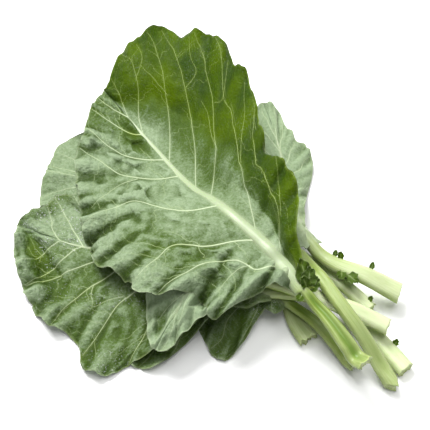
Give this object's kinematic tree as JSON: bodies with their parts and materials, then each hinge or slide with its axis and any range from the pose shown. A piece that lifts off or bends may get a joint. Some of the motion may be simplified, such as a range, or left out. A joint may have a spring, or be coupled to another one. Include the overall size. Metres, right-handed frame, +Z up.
{
  "type": "bunch of collard greens",
  "caption": "Loose bunch of collard greens lying on its side: broad, heavily veined leaf blades on thick cut stems that cross where they would be tied.",
  "frame": {"origin": "centre of the bunch's outline at the height of the table that it lies on", "axes": "+Z up from the table, +Y from the cut stems' side towards the biggest leaf's tip, +X towards the cut stem ends"},
  "size_m": [0.3552, 0.3636, 0.0821],
  "materials": {
    "leaf_blade": "living leaf, blue-green waxy bloom over mid green, satin, pale veins",
    "leaf_stem": "living stem, pale yellow-green, satin, faint lengthwise fibres"
  },
  "bodies": {
    "root": {"bottom_blade": "leaf_blade", "bottom_stem": "leaf_stem", "front_blade": "leaf_blade", "front_stem": "leaf_stem", "lower_left_blade": "leaf_blade", "lower_left_stem": "leaf_stem", "back_left_blade": "leaf_blade", "back_left_stem": "leaf_stem", "left_blade": "leaf_blade", "left_stem": "leaf_stem", "right_blade": "leaf_blade", "right_stem": "leaf_stem", "middle_blade": "leaf_blade", "middle_stem": "leaf_stem", "main_blade": "leaf_blade", "main_stem": "leaf_stem"}
  },
  "joints": []
}
